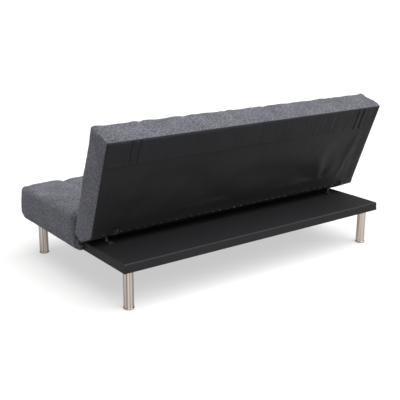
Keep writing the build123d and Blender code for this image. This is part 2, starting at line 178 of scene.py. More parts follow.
def tint(name, description, default):
    """A setting that is a colour."""
    return FloatVectorProperty(name=name, description=description, size=3, subtype="COLOR",
                               default=default, min=0, max=1)


class CushionSettings(bpy.types.PropertyGroup):
    """Tufted cushions of the seat and the back."""

    columns: IntProperty(name="Panels across", description="Tufted panels along the sofa", default=7, min=1)
    rows: IntProperty(name="Panels deep", description="Tufted panels from front to rear", default=3, min=1)
    cells: IntProperty(name="Cells in a panel", description="Mesh cells across one panel", default=22, min=8)
    crown: in_metres("Crown", "Height of a panel over its seams", 0.016)
    seam_depth: in_metres("Seam depth", "How far a seam is pulled in", 0.010)
    seam_width: in_metres("Seam width", "Width over which a panel falls to its seam", 0.019)
    back_round: in_metres("Back edge", "Radius of the back's edges", 0.017)
    nose_round: in_metres("Nose", "Radius under the back's front face", 0.045)
    seat_round: in_metres("Seat edge", "Radius of the seat's edges", 0.024)
    bevel: in_metres("Bevel", "Depth and height of the back's lower rear bevel", 0.082)
    band_height: in_metres("Lower band", "Height of the seat's lower band", 0.036)
    band_inset: FloatVectorProperty(name="Band inset", description="Inset of the lower band, side and front",
                                    size=2, default=(0.010, 0.012), unit="LENGTH")
    rear_recess: in_metres("Rear recess", "Room for the rear cloth", 0.022)
    sim_frames: IntProperty(name="Cloth steps", description="Steps of the padding's cloth run", default=14)
    pressure: FloatProperty(name="Pressure", description="Pressure of the padding on its cover", default=3.5)
    swell: in_metres("Swell", "Furthest that the cloth run may move a point", 0.007)


class ClothSettings(bpy.types.PropertyGroup):
    """Black cloth on the rear face, the shelf and the underside."""

    step: in_metres("Cell", "Mesh cell of the sheets", 0.010)
    thickness: in_metres("Thickness", "Thickness of the sheets", 0.0007)
    sag: in_metres("Sag", "How far the rear cloth lies in between its timbers", 0.008)
    band_step: in_metres("Band step", "How far the top band stands off the rear cloth", 0.004)
    shelf_round: in_metres("Shelf edge", "Radius of the shelf's edges", 0.007)
    staple_pitch: in_metres("Staple pitch", "Distance between staples", 0.046)
    leg_gap: in_metres("Leg gap", "Room round a leg in the dust sheet", 0.002)


class ColourSettings(bpy.types.PropertyGroup):
    """Colours of the finishes."""

    linen: tint("Linen", "Middle colour of the grey linen", (0.070, 0.0715, 0.084))
    black: tint("Black cloth", "Colour of the woven black cloth", (0.0069, 0.0071, 0.0079))
    dust: tint("Lining", "Colour of the thin black lining", (0.0085, 0.0088, 0.0098))
    tube: tint("Leg tube", "Colour of the leg's plating", (0.47, 0.41, 0.365))
    timber: tint("Timber", "Middle colour of the timber", (0.50, 0.33, 0.18))


class StudioSettings(bpy.types.PropertyGroup):
    """Floor, light and camera."""

    azimuth: in_degrees("Azimuth", "Camera's place round the sofa", 143.48)
    elevation: in_degrees("Elevation", "Camera's height over the horizon", 16.58)
    distance: in_metres("Distance", "Camera's distance", 4.161)
    target: FloatVectorProperty(name="Target", description="Point that the camera faces", size=3,
                                default=(0.029, -0.015, 0.278), unit="LENGTH")
    roll: in_degrees("Roll", "Camera's turn about its own axis", 0.36)
    lens: FloatProperty(name="Lens", description="Focal length in millimetres", default=66.84)
    sky: FloatProperty(name="Sky", description="Strength of the light from all round", default=0.42)
    key: FloatProperty(name="Key", description="Strength of the soft light from above", default=7.2)
    floor: tint("Floor", "Colour of the floor", (0.25, 0.25, 0.25))
    glow: FloatProperty(name="Floor glow", description="Light that the backlit floor gives", default=0.55)


class SofaSettings(bpy.types.PropertyGroup):
    """Every setting of the sofa bed."""

    cushion: PointerProperty(type=CushionSettings)
    cloth: PointerProperty(type=ClothSettings)
    colour: PointerProperty(type=ColourSettings)
    studio: PointerProperty(type=StudioSettings)


# Materials


class Finish:
    """A material under construction, with short calls for its nodes."""

    def __init__(self, name):
        self.material = bpy.data.materials.new(name)
        self.material.use_nodes = True
        self.tree = self.material.node_tree
        self.shader = self.tree.nodes["Principled BSDF"]

    def node(self, kind, **values):
        """A new node, with its own properties set by name."""
        made = self.tree.nodes.new(kind)
        for key, value in values.items():
            setattr(made, key, value)
        return made

    def link(self, source, target):
        """Join an output to an input."""
        self.tree.links.new(source, target)

    def drive(self, socket, source):
        """Join an output to one of the shader's sockets."""
        self.link(source, self.shader.inputs[socket])

    def surface(self, **values):
        """Set sockets of the shader, spaces written as underscores."""
        for key, value in values.items():
            self.shader.inputs[key.replace("_", " ")].default_value = value

    def place(self):
        """Coordinates of the object in metres."""
        return self.node("ShaderNodeTexCoord").outputs["Object"]

    def stretched(self, source, scale):
        """Coordinates scaled by a different amount each way."""
        mapping = self.node("ShaderNodeMapping")
        mapping.inputs["Scale"].default_value = scale
        self.link(source, mapping.inputs["Vector"])
        return mapping.outputs["Vector"]

    def grain(self, source, scale, detail=2.0, roughness=0.5):
        """Noise over the given coordinates, already scaled."""
        made = self.node("ShaderNodeTexNoise")
        made.inputs["Scale"].default_value = scale
        made.inputs["Detail"].default_value = detail
        made.inputs["Roughness"].default_value = roughness
        self.link(source, made.inputs["Vector"])
        return made.outputs["Fac"]

    def streaks(self, source, scale, detail=2.0, roughness=0.5):
        """Noise drawn out by a different amount each way."""
        return self.grain(self.stretched(source, scale), 1.0, detail, roughness)

    def math(self, operation, first, second):
        """One sum of two values or outputs."""
        made = self.node("ShaderNodeMath", operation=operation)
        for number, value in enumerate((first, second)):
            if isinstance(value, (int, float)):
                made.inputs[number].default_value = value
            else:
                self.link(value, made.inputs[number])
        return made.outputs[0]

    def shares(self, first, first_share, second, second_share):
        """A sum of two outputs, each times its share."""
        return self.math("ADD", self.math("MULTIPLY", first, first_share),
                         self.math("MULTIPLY", second, second_share))

    def ramp(self, source, *stops):
        """Colours over a value, as (place, colour) stops."""
        made = self.node("ShaderNodeValToRGB")
        bar = made.color_ramp
        while len(bar.elements) < len(stops):
            bar.elements.new(0.5)
        for element, (place, colour) in zip(bar.elements, stops):
            element.position = place
            element.color = (*colour, 1.0)
        self.link(source, made.inputs["Fac"])
        return made.outputs["Color"]

    def tones(self, source, base, *stops):
        """Lighter and darker tones of a colour over a value, as (place, factor) stops."""
        return self.ramp(source, *((place, shade(base, factor)) for place, factor in stops))

    def span(self, source, low, high):
        """A value from 0 to 1 carried to other limits."""
        made = self.node("ShaderNodeMapRange")
        made.inputs["To Min"].default_value = low
        made.inputs["To Max"].default_value = high
        self.link(source, made.inputs["Value"])
        return made.outputs["Result"]

    def rough(self, source, low, high):
        """Roughness between two limits, driven by a value."""
        self.drive("Roughness", self.span(source, low, high))

    def bump(self, height, distance, strength=1.0, under=None):
        """Bump from a height, on top of another bump."""
        made = self.node("ShaderNodeBump")
        made.inputs["Strength"].default_value = strength
        made.inputs["Distance"].default_value = distance
        self.link(height, made.inputs["Height"])
        if under is not None:
            self.link(under, made.inputs["Normal"])
        return made.outputs["Normal"]


def shade(colour, factor):
    """A colour made lighter or darker."""
    return tuple(min(1.0, channel * factor) for channel in colour)


def cloth_coordinates(finish):
    """The cloth's own coordinates in metres."""
    return finish.node("ShaderNodeUVMap", uv_map="cloth").outputs["UV"]


def weave(finish, coordinates, pitch):
    """Height of a plain weave whose threads are a pitch apart."""
    split = finish.node("ShaderNodeSeparateXYZ")
    finish.link(coordinates, split.inputs["Vector"])
    turns = math.pi / pitch
    warp = finish.math("SINE", finish.math("MULTIPLY", split.outputs["X"], turns), 0.0)
    weft = finish.math("SINE", finish.math("MULTIPLY", split.outputs["Y"], turns), 0.0)
    return finish.math("ABSOLUTE", finish.math("MULTIPLY", warp, weft), 0.0)


def make_linen(colours):
    """Heathered grey linen: mixed threads with slubs both ways, and a soft nap."""
    finish = Finish("grey_linen")
    metres = cloth_coordinates(finish)
    warp = finish.streaks(metres, (620.0, 70.0, 1.0))
    weft = finish.streaks(metres, (60.0, 560.0, 1.0))
    flecks = finish.grain(metres, 210.0, 3.0, 0.6)
    slub_clusters = finish.streaks(metres, (120.0, 75.0, 1.0))
    clouds = finish.grain(metres, 9.0, 2.0)
    threads = finish.shares(warp, 0.5, weft, 0.5)
    spots = finish.shares(flecks, 0.5, slub_clusters, 0.5)
    heather = finish.shares(threads, 0.4, spots, 0.6)
    mixed = finish.math("ADD", heather, finish.math("MULTIPLY", finish.math("SUBTRACT", clouds, 0.5), 0.10))
    base = tuple(colours.linen)
    finish.drive("Base Color", finish.tones(mixed, base, (0.40, 0.30), (0.475, 0.76), (0.53, 1.18),
                                            (0.61, 2.15)))
    finish.rough(threads, 0.82, 0.95)
    slubs = finish.bump(threads, 0.0009, 0.7)
    finish.drive("Normal", finish.bump(weave(finish, metres, 0.0011), 0.0004, 0.6, slubs))
    finish.surface(Sheen_Weight=0.12, Sheen_Roughness=0.45, Specular_IOR_Level=0.12,
                   Sheen_Tint=(0.80, 0.83, 0.92, 1.0))
    return finish.material


def make_black_cloth(colours):
    """Tightly woven black cloth with a little lint, and a painted highlight: a lighter tone mixed in as far
    as a piece's point attribute asks.
    """
    finish = Finish("woven_black")
    metres = cloth_coordinates(finish)
    threads = finish.streaks(metres, (900.0, 260.0, 1.0))
    highlight_and_rub = finish.grain(metres, 7.0, 4.0, 0.6)
    lint = finish.streaks(metres, (70.0, 420.0, 1.0), 3.0)
    base = tuple(colours.black)
    mixed = finish.shares(threads, 0.4, lint, 0.6)
    colour = finish.tones(mixed, base, (0.35, 0.70), (0.52, 1.0), (0.70, 2.1))
    # Painted highlight: a tone 3.4 times lighter, mixed in by the piece's point attribute and made patchy by
    # the noise that also sets the roughness.
    highlighted = finish.node("ShaderNodeMix", data_type="RGBA")
    highlight_share = finish.node("ShaderNodeAttribute", attribute_name="highlight_and_rub").outputs["Fac"]
    finish.link(finish.math("MULTIPLY", highlight_share, finish.span(highlight_and_rub, 0.5, 1.1)), highlighted.inputs["Factor"])
    finish.link(colour, highlighted.inputs["A"])
    highlighted.inputs["B"].default_value = (*shade(base, 3.4), 1.0)
    finish.drive("Base Color", highlighted.outputs["Result"])
    finish.rough(highlight_and_rub, 0.50, 0.72)
    coarse = finish.bump(finish.grain(metres, 26.0, 3.0), 0.0016, 0.35)
    finish.drive("Normal", finish.bump(weave(finish, metres, 0.0008), 0.0003, 0.6, coarse))
    finish.surface(Sheen_Weight=0.035, Sheen_Roughness=0.40, Specular_IOR_Level=0.10,
                   Sheen_Tint=(0.86, 0.88, 0.94, 1.0))
    return finish.material


def make_lining(colours):
    """Thin black spun lining with a dotted emboss and matted fibres."""
    finish = Finish("spun_lining")
    metres = cloth_coordinates(finish)
    fibres = finish.streaks(metres, (300.0, 340.0, 1.0), 4.0, 0.7)
    stretched = finish.grain(metres, 5.0, 3.0)
    base = tuple(colours.dust)
    finish.drive("Base Color", finish.tones(fibres, base, (0.35, 0.65), (0.55, 1.0), (0.75, 1.9)))
    finish.rough(stretched, 0.44, 0.66)
    dots = finish.bump(weave(finish, metres, 0.0022), 0.00025, 0.5)
    creases = finish.bump(finish.grain(metres, 34.0, 4.0, 0.55), 0.0018, 0.4, dots)
    finish.drive("Normal", creases)
    finish.surface(Sheen_Weight=0.02, Sheen_Roughness=0.35, Specular_IOR_Level=0.14,
                   Sheen_Tint=(0.88, 0.90, 0.96, 1.0))
    return finish.material


def make_timber(colours):
    """Sawn pine: long grain, growth bands and darker late wood."""
    finish = Finish("pine_timber")
    place = finish.place()
    bands = finish.node("ShaderNodeTexWave", wave_type="RINGS", rings_direction="X")
    bands.inputs["Scale"].default_value = 22.0
    bands.inputs["Distortion"].default_value = 5.0
    bands.inputs["Detail"].default_value = 2.0
    finish.link(finish.stretched(place, (0.12, 1.0, 1.0)), bands.inputs["Vector"])
    fibre = finish.streaks(place, (18.0, 420.0, 420.0), 3.0)
    mixed = finish.shares(bands.outputs["Fac"], 0.6, fibre, 0.4)
    base = tuple(colours.timber)
    finish.drive("Base Color", finish.tones(mixed, base, (0.15, 0.62), (0.55, 1.0), (0.85, 1.28)))
    finish.rough(fibre, 0.60, 0.82)
    finish.drive("Normal", finish.bump(fibre, 0.0005, 0.5))
    return finish.material


def make_plywood(colours):
    """Thin board faced with a pale veneer."""
    finish = Finish("plywood_face")
    place = finish.place()
    figure = finish.streaks(place, (6.0, 60.0, 60.0), 5.0, 0.6)
    pores = finish.streaks(place, (60.0, 900.0, 900.0))
    base = shade(tuple(colours.timber), 1.15)
    mixed = finish.shares(figure, 0.7, pores, 0.3)
    finish.drive("Base Color", finish.tones(mixed, base, (0.3, 0.72), (0.5, 1.0), (0.7, 1.2)))
    finish.rough(pores, 0.55, 0.75)
    finish.drive("Normal", finish.bump(pores, 0.0002, 0.4))
    return finish.material


def make_plated_tube(colours):
    """Satin chrome on a drawn tube: fine lengthwise lines, faint hand marks, and painted reflections as light
    and dark stripes down the tube.
    """
    finish = Finish("satin_chrome")
    place = finish.place()
    drawn = finish.streaks(place, (700.0, 700.0, 5.0))
    bands = finish.streaks(place, (95.0, 95.0, 0.7), 1.5)
    marks = finish.grain(place, 38.0, 4.0, 0.6)
    base = tuple(colours.tube)
    # Painted reflection: the upright stripes stand for light and dark surroundings seen in the chrome; the
    # drawn lines are the tube's own.
    painted_reflection_and_lines = finish.shares(bands, 0.8, drawn, 0.2)
    finish.drive("Base Color", finish.tones(painted_reflection_and_lines, base, (0.36, 0.42), (0.47, 0.80), (0.60, 1.15)))
    streaks = finish.shares(drawn, 0.7, marks, 0.3)
    finish.rough(streaks, 0.13, 0.34)
    finish.drive("Normal", finish.bump(drawn, 0.00008, 0.6))
    finish.surface(Metallic=1.0, Anisotropic=0.45)
    return finish.material


def make_metal(name, colour, rough_low, rough_high, grain_size):
    """A plated or rolled metal with a mottled surface."""
    finish = Finish(name)
    place = finish.place()
    mottle = finish.grain(place, grain_size, 4.0, 0.6)
    scratches = finish.streaks(place, (30.0, 900.0, 300.0))
    finish.drive("Base Color", finish.tones(mottle, colour, (0.35, 0.75), (0.65, 1.15)))
    finish.rough(scratches, rough_low, rough_high)
    finish.drive("Normal", finish.bump(scratches, 0.00006, 0.5))
    finish.surface(Metallic=1.0)
    return finish.material


def make_moulded_plastic():
    """Black moulded plastic with a fine spark texture."""
    finish = Finish("moulded_black")
    place = finish.place()
    spark = finish.grain(place, 1400.0, 2.0)
    scuffs = finish.grain(place, 90.0, 3.0)
    finish.drive("Base Color", finish.ramp(scuffs, (0.35, (0.008, 0.008, 0.008)),
                                           (0.75, (0.022, 0.021, 0.020))))
    finish.rough(scuffs, 0.42, 0.62)
    finish.drive("Normal", finish.bump(spark, 0.0001, 0.4))
    return finish.material


def make_floor_finish(studio):
    """Pale painted floor, almost even."""
    finish = Finish("pale_floor")
    place = finish.place()
    paint = finish.grain(place, 3.0, 3.0)
    base = tuple(studio.floor)
    finish.drive("Base Color", finish.tones(paint, base, (0.3, 0.995), (0.7, 1.005)))
    finish.surface(Roughness=0.75, Specular_IOR_Level=0.2, Emission_Strength=studio.glow,
                   Emission_Color=(1.0, 1.0, 1.0, 1.0))
    return finish.material


# Meshes


def make_object(name, points, faces, material, sides=None, axes=SOFA_AXES):
    """A smooth mesh object whose cloth coordinates lie flat on each side of a block."""
    mesh = bpy.data.meshes.new(name)
    turn = -1 if np.linalg.det(axes) < 0 else 1
    mesh.from_pydata([tuple(point) for point in points], [], [tuple(face)[::turn] for face in faces])
    mesh.polygons.foreach_set("use_smooth", [True] * len(mesh.polygons))
    mesh.materials.append(material)
    if sides is not None:
        flat = {0: (1, 2), 1: (0, 2), 2: (0, 1)}
        own = np.asarray(points) @ axes.T
        layer = mesh.uv_layers.new(name="cloth")
        for polygon, side in zip(mesh.polygons, sides):
            across, along = flat[side]
            for loop in polygon.loop_indices:
                place = own[mesh.loops[loop].vertex_index]
                layer.data[loop].uv = (place[across], place[along])
    mesh.validate()
    made = bpy.data.objects.new(name, mesh)
    bpy.context.scene.collection.objects.link(made)
    return made


def block_surface(steps):
    """The outside of a block of cells: whole-step points, quads facing out, and the axis of each quad."""
    index, faces, sides = {}, [], []

    def corner(step):
        return index.setdefault(tuple(step), len(index))

    for axis in range(3):
        first, second = (axis + 1) % 3, (axis + 2) % 3
        for level in (0, steps[axis]):
            for i in range(steps[first]):
                for j in range(steps[second]):
                    quad = []
                    for di, dj in ((0, 0), (1, 0), (1, 1), (0, 1)):
                        step = [0, 0, 0]
                        step[axis], step[first], step[second] = level, i + di, j + dj
                        quad.append(corner(step))
                    faces.append(quad if level else quad[::-1])
                    sides.append(axis)
    return np.array(list(index), float), faces, sides


def panel_places(count, cells, pinch=0.075):
    """Places from 0 to 1 of the cell lines of equal panels, closer together at the seams."""
    share = np.arange(count * cells + 1) / cells
    return (share - pinch * np.sin(2 * np.pi * share)) / count


def rounded(points, low, high, radius):
    """Points on a block's faces, moved onto the same block with round edges."""
    inner = np.clip(points, low + radius, high - radius)
    away = points - inner
    length = np.linalg.norm(away, axis=1, keepdims=True)
    return np.where(length > 1e-9, inner + away * (radius / np.maximum(length, 1e-9)), points)


def smooth_step(values, low, high):
    """0 below low, 1 above high, and smooth between."""
    share = np.clip((values - low) / (high - low), 0, 1)
    return share * share * (3 - 2 * share)


def hill(values, centre, width):
    """1 at the centre, falling smoothly to 0 over a few widths."""
    return np.exp(-((values - centre) / width) ** 2)


def seam_distance(values, seams):
    """Distance to the nearest of several seams."""
    return np.min(np.abs(values[:, None] - np.array(seams)[None, :]), axis=1)


def normals_of(made):
    """The vertex normals of an object's mesh."""
    return rows_of(made.data.vertex_normals, "vector")


def set_points(made, points):
    """Move an object's vertices."""
    made.data.vertices.foreach_set("co", np.ascontiguousarray(points, float).ravel())
    made.data.update()


def ripple(points, size, seed):
    """Soft noise at each point, about -0.5 to 0.5."""
    offset = Vector((seed * 7.31, seed * 3.17, seed * 1.93))
    return np.array([noise.noise(Vector(point) / size + offset) for point in points])


def flat_places(across, along):
    """Places on a flat sheet, for noise over it."""
    return np.stack((across, along, np.zeros(len(across))), axis=1)


def apply_modifiers(made):
    """Make an object's modifiers part of its mesh."""
    bpy.context.view_layer.update()
    evaluated = made.evaluated_get(bpy.context.evaluated_depsgraph_get())
    mesh = bpy.data.meshes.new_from_object(evaluated, preserve_all_data_layers=True,
                                           depsgraph=bpy.context.evaluated_depsgraph_get())
    made.modifiers.clear()
    made.data = mesh
    mesh.polygons.foreach_set("use_smooth", [True] * len(mesh.polygons))


def subdivide(made):
    """Apply one smooth subdivision."""
    modifier = made.modifiers.new("smoothing", "SUBSURF")
    modifier.levels = modifier.render_levels = 1
    apply_modifiers(made)


def cut_slots(made, name, low, high):
    """Cut one slot through the cushion at each hinge, given in the backrest's axes for the right side."""
    for side in (-1, 1):
        limits = ((side * low[0], side * high[0]), (low[1], high[1]), (low[2], high[2]))
        corners = np.array([(x, n, u) for x in sorted(limits[0]) for n in limits[1] for u in limits[2]])
        faces = ((0, 1, 3, 2), (4, 6, 7, 5), (0, 4, 5, 1), (2, 3, 7, 6), (0, 2, 6, 4), (1, 5, 7, 3))
        cutter = make_object(f"{name}_cutter", corners @ BACK_AXES, faces, made.data.materials[0],
                             (0, 0, 2, 2, 1, 1), BACK_AXES)
        modifier = made.modifiers.new("slot", "BOOLEAN")
        modifier.operation = "DIFFERENCE"
        modifier.solver = "EXACT"
        modifier.object = cutter
        apply_modifiers(made)
        bpy.data.objects.remove(cutter)


def run_cloth(made, settings, held, reach):
    """Let the padding press the cover out for some steps, and keep each point within its reach."""
    start = points_of(made)
    group = made.vertex_groups.new(name="held")
    for number in np.flatnonzero(held > 0.02):
        group.add([int(number)], float(held[number]), "REPLACE")
    modifier = made.modifiers.new("cover", "CLOTH")
    cover = modifier.settings
    cover.quality = 4
    cover.mass = 0.35
    cover.tension_stiffness = cover.compression_stiffness = 22
    cover.shear_stiffness = 9
    cover.bending_stiffness = 0.35
    cover.use_pressure = True
    cover.uniform_pressure_force = settings.pressure
    cover.shrink_min = -0.022
    cover.vertex_group_mass = "held"
    cover.pin_stiffness = 3.0
    cover.effector_weights.gravity = 0
    modifier.collision_settings.use_collision = False
    modifier.point_cache.frame_end = settings.sim_frames
    scene = bpy.context.scene
    for step in range(1, settings.sim_frames + 1):
        scene.frame_set(step)
    apply_modifiers(made)
    scene.frame_set(1)
    moved = points_of(made) - start
    length = np.linalg.norm(moved, axis=1, keepdims=True)
    limit = np.minimum(length, settings.swell * reach[:, None])
    set_points(made, start + moved * (limit / np.maximum(length, 1e-9)))
    made.vertex_groups.clear()


# Cushions


def tuft_height(across, along, columns, rows, settings):
    """Height of a tufted face over its base, from the seams across and along it."""
    width = settings.seam_width
    side = 1 - np.exp(-seam_distance(across, columns) / width)
    end = 1 - np.exp(-seam_distance(along, rows) / width) if len(rows) else 1.0
    return settings.crown * side * end - settings.seam_depth


def tuck_wrinkles(across, along, columns, rows, seed):
    """Small folds that run out from each point where two seams cross."""
    height = np.zeros(len(across))
    for number, column in enumerate(columns):
        for other, row in enumerate(rows):
            dx, dy = across - column, along - row
            distance = np.hypot(dx, dy)
            turn = np.arctan2(dy, dx)
            folds = np.cos(turn * 6 + seed + number * 1.7 + other * 2.3)
            height += TUCK_FOLD * folds * hill(distance, TUCK_REACH, TUCK_REACH)
            height -= TUCK_DIMPLE * hill(distance, 0.0, 0.018)
    return height


def calmed(height, from_end, edge_height):
    """Heights of a tufted face that settle to one height at its outer edge, where the seams run out."""
    share = smooth_step(from_end, 0.012, 0.080)
    return edge_height + (height - edge_height) * share


def pleat_ripples(across, columns, seed):
    """Short parallel tucks beside each seam."""
    height = np.zeros(len(across))
    for number, column in enumerate(columns):
        away = across - column
        pleats = np.cos(away * 2 * np.pi / PLEAT_PITCH + seed + number)
        height += PLEAT_HEIGHT * pleats * hill(away, 0.0, 0.032)
    return height


def column_seams(half_width, settings):
    """The seams between the panels along the sofa."""
    return [half_width * (2 * number / settings.columns - 1) for number in range(1, settings.columns)]


def row_seams(low, high, settings):
    """The seams between the rows of panels."""
    return [low + (high - low) * number / settings.rows for number in range(1, settings.rows)]


def seat_cushion(settings, linen):
    """The seat's tufted cushion, with its lower band drawn in."""
    low, high = SEAT_LOW.copy(), SEAT_HIGH.copy()
    high[1] = SEAT_REAR
    low[2] -= UNDER_WRAP
    depth_cells = settings.rows * SEAT_ROW_CELLS
    places = (panel_places(settings.columns, settings.cells), panel_places(settings.rows, SEAT_ROW_CELLS),
              np.linspace(0, 1, SEAT_HEIGHT_CELLS + 1))
    steps, faces, sides = block_surface((settings.columns * settings.cells, depth_cells, SEAT_HEIGHT_CELLS))
    share = np.stack([places[axis][steps[:, axis].astype(int)] for axis in range(3)], axis=1)
    points = low + share * (high - low)
    radius = 0.003 + (settings.seat_round - 0.003) * smooth_step(points[:, 2:], low[2] + 0.03, high[2])
    points = rounded(points, low, high, radius)
    rear = smooth_step(points[:, 1], high[1] - 0.04, high[1])
    drawn = 1 - np.clip((points[:, 2] - low[2]) / settings.band_height, 0, 1)
    side_in, front_in = settings.band_inset
    points[:, 0] *= 1 - drawn * side_in / high[0]
    points[:, 1] += drawn * front_in * (1 - smooth_step(points[:, 1], low[1], low[1] + 0.10))
    made = make_object("seat_cushion", points, faces, linen, sides)
    normal = normals_of(made)
    x, y, z = points.T
    columns = column_seams(high[0], settings)
    rows = row_seams(low[1], high[1], settings)
    top = np.clip(normal[:, 2], 0, 1) ** 2
    front = np.clip(-normal[:, 1], 0, 1) ** 2
    end = normal[:, 0] ** 2
    fade = smooth_step(z, low[2] + 0.05, high[2] - 0.03)
    sit = tuft_height(x, y, columns, rows, settings) * 0.75 + tuck_wrinkles(x, y, columns, rows, 0.4)
    sit = calmed(sit, high[0] - np.abs(x), 0.002)
    apron = (tuft_height(x, y, columns, (), settings) * 0.5 + pleat_ripples(x, columns, 0.9)) * fade
    flank = 0.004 * np.sin(np.pi * np.clip((z - low[2]) / (high[2] - low[2]), 0, 1)) * (1 - rear)
    puckers = 0.0011 * np.cos(y * 2 * np.pi / 0.047 + 0.5 * np.sin(y * 31)) * (1 - smooth_step(z, 0.22, 0.29))
    height = top * sit + front * apron + end * (flank + puckers)
    height += ripple(points, 0.085, 1) * 0.0030 * (top + front + end)
    height *= np.where(normal[:, 1] > 0.5, 0.1, 1.0)
    set_points(made, points + normal * height[:, None])
    seams = np.exp(-np.minimum(seam_distance(x, columns), seam_distance(y, rows)) / 0.008)
    held = np.maximum.reduce((np.clip(seams * (top + front), 0, 1), 0.75 * end,
                              smooth_step(-z, -low[2] - 0.03, -low[2]),
                              smooth_step(y, high[1] - 0.03, high[1])))
    run_cloth(made, settings, held, np.where(y > high[1] - 0.02, 0.15, 1.0))
    subdivide(made)
    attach(made, "base")
    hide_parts("seat_cover", "seat_foam")


def corner_folds(linen):
    """The cover's gathered tails at the seat's lower rear corners, beside the shelf."""
    low_y, high_y = SEAT_REAR - TAIL_START, SEAT_HIGH[1]
    inner, outer = SHELF_HIGH[0] + 0.0008, SEAT_HIGH[0] - 0.013
    low_z = SEAT_LOW[2]
    steps, faces, sides = block_surface(TAIL_CELLS)
    share = steps / np.array(TAIL_CELLS)
    for name, side in (("left", -1), ("right", 1)):
        low = np.array((inner, low_y, low_z))
        high = np.array((outer, high_y, low_z + TAIL_HEIGHT))
        points = rounded(low + share * (high - low), low, high, TAIL_ROUND)
        x, y, z = points.T
        rearward = smooth_step(y, low_y, high_y)
        z = z - (z - low_z) * 0.42 * rearward ** 1.5
        folds = TAIL_FOLD * np.cos((z - low_z + 0.35 * (y - low_y)) * 2 * np.pi / TAIL_FOLD_PITCH)
        bulge = folds * smooth_step(x, inner + 0.006, outer) + 0.003 * (1 - rearward)
        x = x + bulge
        y = y + 0.0022 * np.cos(z * 2 * np.pi / 0.019 + 1.0) * rearward
        points = np.stack((side * x, y, z), axis=1)
        turned = faces if side > 0 else [face[::-1] for face in faces]
        fold = make_object(f"corner_fold_{name}", points, turned, linen, sides)
        subdivide(fold)
        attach(fold, "base")
        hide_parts("seat_cover")


def keep_over_timber(made):
    """Hold the back's cover outside the frame's top rail and end stiles."""
    own = points_of(made) @ BACK_AXES.T
    high = node_limits("back_top_rail", BACK_AXES)[1]
    beside = (own[:, 1] < high[1] + COVER_OVER_TIMBER) & (own[:, 2] > RAIL_LOW[2])
    on_top = beside & (own[:, 2] > high[2] - 0.02) & (np.abs(own[:, 0]) < high[0])
    on_end = beside & (np.abs(own[:, 0]) > high[0] - 0.02)
    own[:, 2] = np.where(on_top, np.maximum(own[:, 2], high[2] + COVER_OVER_TIMBER), own[:, 2])
    out = np.maximum(np.abs(own[:, 0]), high[0] + COVER_OVER_TIMBER)
    own[:, 0] = np.where(on_end, np.sign(own[:, 0]) * out, own[:, 0])
    set_points(made, own @ BACK_AXES)


